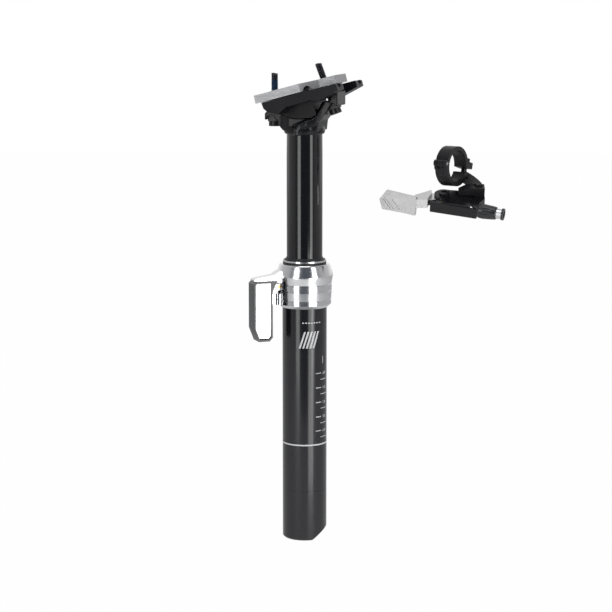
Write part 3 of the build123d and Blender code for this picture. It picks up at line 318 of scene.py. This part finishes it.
lever_silver = brushed("polished_lever", (0.86, 0.85, 0.85), 0.3, (2600, 200, 2600), 0.015)
bush_bronze = brushed("oiled_bronze", (0.5, 0.33, 0.16), 0.35, (60, 60, 1500))
barrel_silver = brushed("bright_barrel", (0.82, 0.82, 0.83), 0.2, (60, 60, 1500))
bolt_thread = brushed("blackened_thread", (0.11, 0.11, 0.12), 0.26, (60, 60, 900), 0.03)
# Name, colour, roughness, the grain's scale and the strength of its relief
head_black = cast("forged_black_head", (0.008, 0.008, 0.0095), 0.27, 1800, 0.05, level=0.30)
cradle_black = cast("forged_black_cradle", (0.0065, 0.0065, 0.008), 0.3, 1800, 0.05, level=0.12)
thread_blue = cast("thread_lock_blue", (0.01, 0.035, 0.085), 0.4, 2200, 0.1)
seal_rubber = cast("wiper_rubber", (0.012, 0.012, 0.012), 0.5, 2400, 0.12)
bushing_plastic = cast("bushing_polymer", (0.62, 0.58, 0.5), 0.45, 1800, 0.08)
case_black = cast("case_black", (0.010, 0.010, 0.012), 0.2, 1900, 0.03, coat=0.2)
bumper_rubber = cast("bumper_rubber", (0.02, 0.02, 0.02), 0.65, 1600, 0.15)
bolt_black = cast("black_oxide_steel", (0.02, 0.02, 0.022), 0.3, 1800, 0.06, metallic=0.4)
washer_black = cast("washer_black", (0.02, 0.02, 0.022), 0.4, 1800, 0.1)
remote_black = cast("remote_black", (0.009, 0.009, 0.0105), 0.24, 1800, 0.05, level=0.4)
knob_black = cast("knob_black", (0.016, 0.016, 0.018), 0.3, 1600, 0.06, coat=0.3)
clamp_black = cast("textured_black_clamp", (0.009, 0.009, 0.0105), 0.36, 1500, 0.22, level=0.36)
print_white = cast("white_print", (0.72, 0.72, 0.72), 0.5, 2000, 0.03)

for names, material in (
    ("outer_tube bottom_cap", tube_black),
    ("stanchion", stanchion_black),
    ("head", head_black),
    ("lower_saddle_cradle", cradle_black),
    ("upper_saddle_clamp", clamp_silver),
    ("collar", collar_silver),
    ("wiper_seal rod_seal piston_seal", seal_rubber),
    ("seal_ring", ring_steel),
    ("upper_bushing lower_glide_bushing", bushing_plastic),
    ("guide_keys actuator_cable_anchor remote_cable_anchor", key_brass),
    ("actuator_housing", case_black),
    ("actuator_cover_plate", plate_mirror),
    ("actuator_lever rod_mount cylinder_seal_head cylinder_top_plug", inner_aluminium),
    ("piston floating_piston gas_cylinder", inner_aluminium),
    ("gas_rod rod_nut valve_pin valve_rocker rocker_pin", inner_steel),
    ("release_strip lever_pin lever_spring clamp_hinge_pin", inner_steel),
    ("top_out_bumper bottom_bumper", bumper_rubber),
    ("front_clamp_bolt rear_clamp_bolt", bolt_black),
    ("remote_pivot_bolt bar_clamp_bolt clamp_foot_bolt", bolt_black),
    ("front_barrel_nut rear_barrel_nut", nut_steel),
    ("front_half_washer rear_half_washer", washer_black),
    ("remote_body", remote_black),
    ("remote_lever", lever_silver),
    ("remote_lever_bush", bush_bronze),
    ("adjuster_knob adjuster_end_ring", knob_black),
    ("adjuster_barrel", barrel_silver),
    ("bar_clamp_base bar_clamp_band", clamp_black),
):
    for node in names.split():
        paint(frame["nodes"][node], material)

# Machined parts: node, bevel width, finish, body and slot
finished = {
    node: softened(node, width, material, body)
    for node, width, material, body, slot in (
        ("lower_saddle_cradle", 0.5, cradle_black, "saddle_clamp", "head_black"),
        ("upper_saddle_clamp", 0.45, clamp_silver, "saddle_clamp", "clamp_silver"),
        ("collar", 0.3, collar_silver, "lower_post", "collar_silver"),
        ("remote_lever", 0.45, lever_silver, "thumb_lever", "lever_silver"),
        ("adjuster_knob", 0.25, knob_black, "adjuster", "knob_black"),
        ("actuator_housing", 0.45, case_black, "lower_post", "housing_black"),
        ("bottom_cap", 0.5, tube_black, "lower_post", "tube_black"),
        ("remote_body", 0.35, remote_black, "lower_post", "remote_black"),
        ("bar_clamp_base", 0.4, clamp_black, "lower_post", "clamp_black"),
        ("bar_clamp_band", 0.4, clamp_black, "clamp_band", "clamp_black"),
        ("front_half_washer", 0.2, washer_black, "front_bolt", "washer_black"),
        ("rear_half_washer", 0.2, washer_black, "rear_bolt", "washer_black"),
    )
}

# Forged head: its rough shape and the rib that climbs to the rear ear, blended into one skin
RIB = (
    (0.3, -14.4, 122.5),
    (0.9, -14.8, 126.5),
    (3.0, -14.6, 129.4),
    (6.5, -14.0, 130.9),
    (11.0, -12.9, 132.2),
    (15.2, -11.6, 135.4),
    (18.5, -10.6, 141.0),
    (21.0, -9.8, 146.0),
)
RIB_HALF = 2.3
RIB_DEEP = 6.0
RIB_FACE = Vector((0.664, -0.738, 0.122)).normalized()
SKIN_GRID = 0.42
SKIN_BLEND = 0.5
SKIN_PASSES = 7
SKIN_KEPT = 0.6
SKIN_SHADE = 60.0

rib, shape = emptied_plane("head_rib")
points = [Vector(p) * mm for p in RIB]
sections = []
for i, point in enumerate(points):
    run = points[min(i + 1, len(points) - 1)] - points[max(i - 1, 0)]
    across = RIB_FACE.cross(run).normalized() * RIB_HALF * mm
    inward = RIB_FACE * -RIB_DEEP * mm
    corners = (point + across, point - across, point - across + inward, point + across + inward)
    sections.append([shape.verts.new(corner) for corner in corners])
for a, b in zip(sections, sections[1:]):
    for i in range(len(a)):
        shape.faces.new((a[i], a[i - 1], b[i - 1], b[i]))
shape.faces.new(sections[0])
shape.faces.new(sections[-1][::-1])
bmesh.update_edit_mesh(rib.data)
bpy.ops.mesh.select_all(action="SELECT")
bpy.ops.mesh.normals_make_consistent(inside=False)
close_mesh()
head = join([bare_copy("head"), rib])
skin = head.modifiers.new("skin", "REMESH")
skin.mode = "VOXEL"
skin.voxel_size = SKIN_GRID * mm
blend = head.modifiers.new("blend", "SMOOTH")
blend.factor = SKIN_BLEND
blend.iterations = SKIN_PASSES
thin = head.modifiers.new("thin", "DECIMATE")
thin.ratio = SKIN_KEPT
apply_modifiers(head)
soft_shade(head, SKIN_SHADE)
paint(head, head_black)
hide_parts("head")
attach(head, "upper_post")

# Grooves in the lever's pad: place along the pad, slant in degrees and length
GROOVES = ((-7.5, 58.0, 9.0), (-5.4, 58.0, 9.0), (-0.6, 58.0, 9.0), (6.0, -52.0, 6.5))
GROOVE_WIDTH = 0.7
PAD_FACING = 0.3

lever = finished["remote_lever"]
facing = [face for face in lever.data.polygons if face.normal.dot(toward) > PAD_FACING]
pad = max(facing, key=lambda face: face.area)
pad_out = pad.normal.copy()
pad_along = Vector((0, 0, 1)).cross(pad_out).normalized()
pad_up = pad_out.cross(pad_along)
pad_center = pad.center.copy()
cutters = []
for offset, slant, length in GROOVES:
    deselect()
    bpy.ops.mesh.primitive_cube_add(size=1.0)
    cutter = bpy.context.object
    run = pad_along * cos(radians(slant)) - pad_up * sin(radians(slant))
    turned = Matrix((run, pad_out.cross(run), pad_out)).transposed().to_4x4()
    size = Matrix.Diagonal((length * mm, GROOVE_WIDTH * mm, GROOVE_WIDTH * mm, 1))
    cutter.matrix_world = Matrix.Translation(pad_center + pad_along * offset * mm) @ turned @ size
    settle(cutter)
    cutters.append(cutter)
cut_away(lever, cutters, "pad_grooves")

# Flutes round the adjuster's knob
FLUTES = 10
FLUTE_SIDES = 16
FLUTE_RADIUS = 1.1
FLUTE_LENGTH = 8.6
FLUTE_CIRCLE = 5.75

knob = finished["adjuster_knob"]
knob_at = joint_place("barrel_adjuster_turn")
knob_way = joint_way("barrel_adjuster_turn")
middle = sum((Vector(corner) for corner in knob.bound_box), Vector()) / len(knob.bound_box)
knob_mid = knob_at + knob_way * (middle - knob_at).dot(knob_way)
knob_side = knob_way.orthogonal().normalized()
cutters = []
for i in range(FLUTES):
    turn = 2 * pi * i / FLUTES
    deselect()
    bpy.ops.mesh.primitive_cylinder_add(
        vertices=FLUTE_SIDES, radius=FLUTE_RADIUS * mm, depth=FLUTE_LENGTH * mm
    )
    cutter = bpy.context.object
    out = knob_side * cos(turn) + knob_way.cross(knob_side) * sin(turn)
    cutter.matrix_world = standing(knob_mid + out * FLUTE_CIRCLE * mm, knob_way)
    settle(cutter)
    cutters.append(cutter)
cut_away(knob, cutters, "knob_flutes")

# Print on the outer tube, drawn flat in x and z. Spans are degrees round from the camera's side.
PRINT_RISE = 0.04
PRINT_THICK = 0.04
LONG_TICKS = (-46.5, -57.0, -67.6, -78.1, -88.3)
LONG_SPAN, LONG_TALL = (30.7, 47.4), 0.55
SHORT_TICKS = (-51.1, -61.7, -72.1, -82.8, -93.0)
SHORT_SPAN, SHORT_TALL = (45.9, 70.6), 0.45
INDEX_SPAN, INDEX_HEIGHT, INDEX_TALL = (53.0, 54.6), -37.0, 5.2
NUMBER_START, NUMBER_DROP, NUMBER_SIZE = 53.0, 1.0, 2.6
FIRST_NUMBER, NUMBER_STEP, CURVE_STEPS = 100, 10, 4
BARS, BAR_START, BAR_STEP, BAR_WIDE = 5, -8.0, 9.0, 4.6
BAR_HEIGHT, BAR_TALL, BAR_SLANT = -22.0, 12.0, 0.32
DASHES, DASH_START, DASH_STEP, DASH_WIDE = 7, -6.0, 7.5, 4.5
DASH_HEIGHT, DASH_TALL = -9.8, 0.8
LINE_HEIGHT, LINE_TALL, LINE_RISE, LINE_THICK, LINE_SIDES = -98.3, 1.0, 0.02, 0.05, 128


def thicken(piece, thickness, offset):
    skin = piece.modifiers.new("skin", "SOLIDIFY")
    skin.thickness = thickness * mm
    skin.offset = offset
    apply_modifiers(piece)


def ink(piece, name):
    """Gives a flat print its thickness, bends it round the tube and names it."""
    piece.name = name
    settle(piece)
    thicken(piece, PRINT_THICK, 0.0)
    for vertex in piece.data.vertices:
        angle = azimuth + vertex.co.x / (TUBE * mm)
        out = (TUBE + PRINT_RISE) * mm + vertex.co.y
        vertex.co = (sin(angle) * out, -cos(angle) * out, vertex.co.z)
    open_mesh(piece)
    bpy.ops.mesh.normals_make_consistent(inside=False)
    close_mesh()
    paint(piece, print_white)
    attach(piece, "lower_post")


def bar_mark(span, height, tall, cuts=4):
    """A flat mark over a span of degrees at a height, cut so that it can bend."""
    start, end = span
    deselect()
    bpy.ops.mesh.primitive_plane_add(size=1.0, rotation=(pi / 2, 0, 0))
    mark = bpy.context.object
    mark.scale = (TUBE * radians(end - start) * mm, tall * mm, 1)
    mark.location = (TUBE * radians((start + end) / 2) * mm, 0, height * mm)
    settle(mark)
    open_mesh(mark)
    bpy.ops.mesh.subdivide(number_cuts=cuts)
    close_mesh()
    return mark


def number_mark(words, height):
    deselect()
    bpy.ops.object.text_add(rotation=(pi / 2, 0, 0))
    number = bpy.context.object
    number.data.body = words
    number.data.size = NUMBER_SIZE * mm
    number.data.align_x = "LEFT"
    number.data.resolution_u = CURVE_STEPS
    bpy.ops.object.convert(target="MESH")
    number = bpy.context.object
    number.location = (TUBE * radians(NUMBER_START) * mm, 0, height * mm)
    settle(number)
    return number


marks = [bar_mark(LONG_SPAN, height, LONG_TALL) for height in LONG_TICKS]
marks += [bar_mark(SHORT_SPAN, height, SHORT_TALL) for height in SHORT_TICKS]
marks.append(bar_mark(INDEX_SPAN, INDEX_HEIGHT, INDEX_TALL, cuts=1))
ink(join(marks), "tube_scale_ticks")

numbers = [
    number_mark(str(FIRST_NUMBER + NUMBER_STEP * i), height - NUMBER_DROP)
    for i, height in enumerate(LONG_TICKS)
]
ink(join(numbers), "tube_scale_numbers")

bars = []
for i in range(BARS):
    start = BAR_START + BAR_STEP * i
    bar = bar_mark((start, start + BAR_WIDE), BAR_HEIGHT, BAR_TALL, cuts=3)
    for vertex in bar.data.vertices:
        vertex.co.x += (vertex.co.z - BAR_HEIGHT * mm) * BAR_SLANT
    bars.append(bar)
ink(join(bars), "tube_slanted_bars")

dashes = []
for i in range(DASHES):
    start = DASH_START + DASH_STEP * i
    dashes.append(bar_mark((start, start + DASH_WIDE), DASH_HEIGHT, DASH_TALL, cuts=2))
ink(join(dashes), "tube_dash_row")

deselect()
bpy.ops.mesh.primitive_cylinder_add(
    vertices=LINE_SIDES,
    radius=(TUBE + LINE_RISE) * mm,
    depth=LINE_TALL * mm,
    end_fill_type="NOTHING",
    location=(0, 0, LINE_HEIGHT * mm),
)
insert_line = bpy.context.object
insert_line.name = "tube_insert_line"
settle(insert_line)
thicken(insert_line, LINE_THICK, 1.0)
soft_shade(insert_line)
paint(insert_line, print_white)
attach(insert_line, "lower_post")

# Mirror plate of the actuator: leant outwards along its arm, folded to a facet below, with a flat rim
# of brighter metal painted on as a chamfer's highlight
ARM_ANGLE = radians(220.0)
ARM = Vector((cos(ARM_ANGLE), sin(ARM_ANGLE), 0))
FACE = Vector((-ARM.y, ARM.x, 0))
PLATE_BEVEL = 0.05
PLATE_SPINE = 31.5
PLATE_LEAN = 0.14
FACET_HEIGHT = -11.0
FACET_LEAN = 0.095
RIM_WIDTH = 0.55
RIM_FACING = 0.9
RIM_FROM = 4.0

plate = softened("actuator_cover_plate", PLATE_BEVEL, plate_mirror, "lower_post", 1)
open_mesh(plate)
bpy.ops.mesh.bisect(plane_co=(0, 0, FACET_HEIGHT * mm), plane_no=(0, 0, 1))
close_mesh()
for vertex in plate.data.vertices:
    along = vertex.co.dot(ARM) / mm
    drop = max(0.0, FACET_HEIGHT - vertex.co.z / mm)
    vertex.co += FACE * ((PLATE_SPINE - along) * PLATE_LEAN - drop * FACET_LEAN) * mm
plate.data.materials.append(painted_highlight_silver)
open_mesh(plate)
bpy.ops.mesh.select_mode(type="FACE")
bpy.ops.mesh.select_all(action="DESELECT")
shape = bmesh.from_edit_mesh(plate.data)
for face in shape.faces:
    if face.normal.dot(FACE) > RIM_FACING and face.calc_center_median().dot(FACE) > RIM_FROM * mm:
        face.select = True
bmesh.update_edit_mesh(plate.data)
bpy.ops.mesh.inset(thickness=RIM_WIDTH * mm, depth=0.0, use_boundary=True)
bpy.ops.mesh.select_all(action="INVERT")
close_mesh()
# The flat rim strip takes the brighter metal: a painted highlight, not a real bevel
for face in plate.data.polygons:
    if face.select and face.normal.dot(FACE) > RIM_FACING:
        face.material_index = 1

# Clamp bolts: a softened head and a real thread. The thread's profile is in shares of its pitch.
PITCH = 0.8
THREAD_RADIUS = 2.48
THREAD_DEPTH = 0.55
CREST_START, CREST_END = 0.42, 0.55
THREAD_STEPS = 24
THREAD_MERGE = 1e-6  # metres
HEAD_BEVEL = 0.25
SHANK_START = 3.4
SHANK_SHORT = 4.3
LOCK_LOW, LOCK_HIGH = 153.0, 160.5


def threaded_shank(start, up, length, name):
    """A screw thread with closed ends, from start along up."""
    thread, shape = emptied_plane(name)
    root = THREAD_RADIUS - THREAD_DEPTH * PITCH
    profile = (
        (root * mm, 0, 0),
        (THREAD_RADIUS * mm, 0, CREST_START * PITCH * mm),
        (THREAD_RADIUS * mm, 0, CREST_END * PITCH * mm),
        (root * mm, 0, PITCH * mm),
    )
    line = [shape.verts.new(p) for p in profile]
    for a, b in zip(line, line[1:]):
        shape.edges.new((a, b))
    bmesh.update_edit_mesh(thread.data)
    close_mesh()
    screw = thread.modifiers.new("thread", "SCREW")
    screw.axis = "Z"
    screw.angle = 2 * pi
    screw.screw_offset = PITCH * mm
    screw.iterations = int(length / PITCH) - 1
    screw.steps = screw.render_steps = THREAD_STEPS
    screw.use_merge_vertices = True
    screw.merge_threshold = THREAD_MERGE
    apply_modifiers(thread)
    open_mesh(thread)
    bpy.ops.mesh.remove_doubles(threshold=SEAM)
    bpy.ops.mesh.fill_holes(sides=0)
    bpy.ops.mesh.select_all(action="SELECT")
    bpy.ops.mesh.normals_make_consistent(inside=False)
    close_mesh()
    thread.matrix_world = standing(start, up)
    settle(thread)
    soft_shade(thread)
    return thread


for side, length in (("front", 34.0), ("rear", 34.5)):
    node, body = side + "_clamp_bolt", side + "_bolt"
    seat = joint_place(side + "_bolt_swing")
    up = (joint_place(side + "_nut_turn") - seat).normalized()
    shank = seat + up * SHANK_START * mm
    bolt_head = softened(node, HEAD_BEVEL, bolt_black, body)
    open_mesh(bolt_head)
    bpy.ops.mesh.bisect(plane_co=shank, plane_no=up, clear_outer=True, use_fill=True)
    close_mesh()
    thread = threaded_shank(shank, up, length - SHANK_SHORT, node + "_thread")
    paint(thread, bolt_thread)
    if side == "front":
        thread.data.materials.append(thread_blue)
        for face in thread.data.polygons:
            if LOCK_LOW * mm < face.center.z < LOCK_HIGH * mm:
                face.material_index = 1
    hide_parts(node)
    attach(thread, body)

# Camera. The focal length is given in pixels of a picture of this size.
SENSOR = 36.0
FOCAL_PIXELS = 2103.0
PICTURE_PIXELS = 612.0
AIM_RIGHT = 1.0

aim = Vector((cos(azimuth), sin(azimuth), 0)) * AIM_RIGHT * mm
camera_data = bpy.data.cameras.new("camera")
camera_data.sensor_width = SENSOR
camera_data.lens = SENSOR * FOCAL_PIXELS / PICTURE_PIXELS
camera = bpy.data.objects.new("camera", camera_data)
bpy.context.scene.collection.objects.link(camera)
camera.location = aim + toward * VIEW_DISTANCE
camera.rotation_euler = (-toward).to_track_quat("-Z", "Y").to_euler()
bpy.context.scene.camera = camera
bpy.context.scene.view_settings.view_transform = "Standard"

# Pale floor, in metres. The camera sees it nearly white, and the part sees its own tone.
FLOOR_SIZE = 6.0
FLOOR_LEVEL = -0.32
FLOOR_BACK = 1.9
FLOOR_TONE = (0.9, 0.9, 0.9, 1)
FLOOR_ROUGHNESS = 0.9
FLOOR_GLOW = 0.985
WHITE = (1, 1, 1, 1)


def floor_finish():
    material = bpy.data.materials.new("pale_floor")
    material.use_nodes = True
    nodes, links = material.node_tree.nodes, material.node_tree.links
    shader = nodes["Principled BSDF"]
    shader.inputs["Base Color"].default_value = FLOOR_TONE
    shader.inputs["Roughness"].default_value = FLOOR_ROUGHNESS
    path = nodes.new("ShaderNodeLightPath")
    glow = nodes.new("ShaderNodeEmission")
    mix = nodes.new("ShaderNodeMixShader")
    share = nodes.new("ShaderNodeMath")
    share.operation = "MULTIPLY"
    share.inputs[1].default_value = FLOOR_GLOW
    links.new(path.outputs["Is Camera Ray"], share.inputs[0])
    links.new(share.outputs[0], mix.inputs["Fac"])
    links.new(shader.outputs["BSDF"], mix.inputs[1])
    links.new(glow.outputs["Emission"], mix.inputs[2])
    links.new(mix.outputs["Shader"], nodes["Material Output"].inputs["Surface"])
    return material


deselect()
bpy.ops.mesh.primitive_plane_add(size=FLOOR_SIZE)
floor = bpy.context.object
floor.name = "floor"
floor.location = -toward * FLOOR_BACK + Vector((0, 0, FLOOR_LEVEL + FLOOR_BACK * sin(elevation)))
floor.rotation_euler = (0, 0, azimuth)
settle(floor)
paint(floor, floor_finish())

# Studio round the part: dark behind the camera, pale beyond the part, and white to the camera itself
DARK_END, PALE_END = 0.04, 1.0
DARK_TONE = (0.075, 0.085, 0.10, 1)
TONES = (
    (0.16, (0.11, 0.12, 0.135, 1)),
    (0.34, (0.42, 0.42, 0.43, 1)),
    (0.7, (0.55, 0.55, 0.55, 1)),
)

world = bpy.data.worlds.new("studio")
bpy.context.scene.world = world
world.use_nodes = True
nodes, links = world.node_tree.nodes, world.node_tree.links
background = nodes["Background"]
background.inputs["Strength"].default_value = 1.0
path = nodes.new("ShaderNodeLightPath")
place = nodes.new("ShaderNodeTexCoord")
away = nodes.new("ShaderNodeVectorMath")
away.operation = "DOT_PRODUCT"
away.inputs[1].default_value = -toward
links.new(place.outputs["Generated"], away.inputs[0])
tones = nodes.new("ShaderNodeValToRGB")
links.new(ramp(nodes, links, away.outputs["Value"], (-1.0, 1.0), (0.0, 1.0)), tones.inputs["Fac"])
steps = tones.color_ramp.elements
steps[0].position, steps[0].color = DARK_END, DARK_TONE
steps[1].position, steps[1].color = PALE_END, WHITE
for position, color in TONES:
    steps.new(position).color = color
seen = nodes.new("ShaderNodeMix")
seen.data_type = "RGBA"
seen.inputs["B"].default_value = WHITE
links.new(path.outputs["Is Camera Ray"], seen.inputs["Factor"])
links.new(tones.outputs["Color"], seen.inputs["A"])
links.new(seen.outputs["Result"], background.inputs["Color"])

# Softboxes: degrees round from the camera's side, distance, height, width and tallness in metres, watts
AIM_SHARE = 0.4
HEAD_AIM = Vector((0.015, -0.01, 0.14))


def softbox(name, angle, distance, height, width, tall, power, aim=None):
    """A rectangular light, aimed at the post's axis below its own height unless told otherwise."""
    data = bpy.data.lights.new(name, "AREA")
    data.shape = "RECTANGLE"
    data.size = width
    data.size_y = tall
    data.energy = power
    light = bpy.data.objects.new(name, data)
    bpy.context.scene.collection.objects.link(light)
    turn = azimuth + radians(angle)
    light.location = (sin(turn) * distance, -cos(turn) * distance, height)
    if aim is None:
        aim = Vector((0, 0, height * AIM_SHARE))
    light.rotation_euler = (aim - light.location).to_track_quat("-Z", "Y").to_euler()


softbox("softbox_right", 44, 1.4, 0.15, 0.40, 1.7, 6.5)
softbox("softbox_left", -35, 1.4, 0.15, 0.48, 1.7, 7.5)
softbox("softbox_top", 0, 0.5, 1.3, 0.9, 0.9, 4)
softbox("softbox_low", 32, 0.77, -0.19, 0.34, 0.26, 0.75, HEAD_AIM)
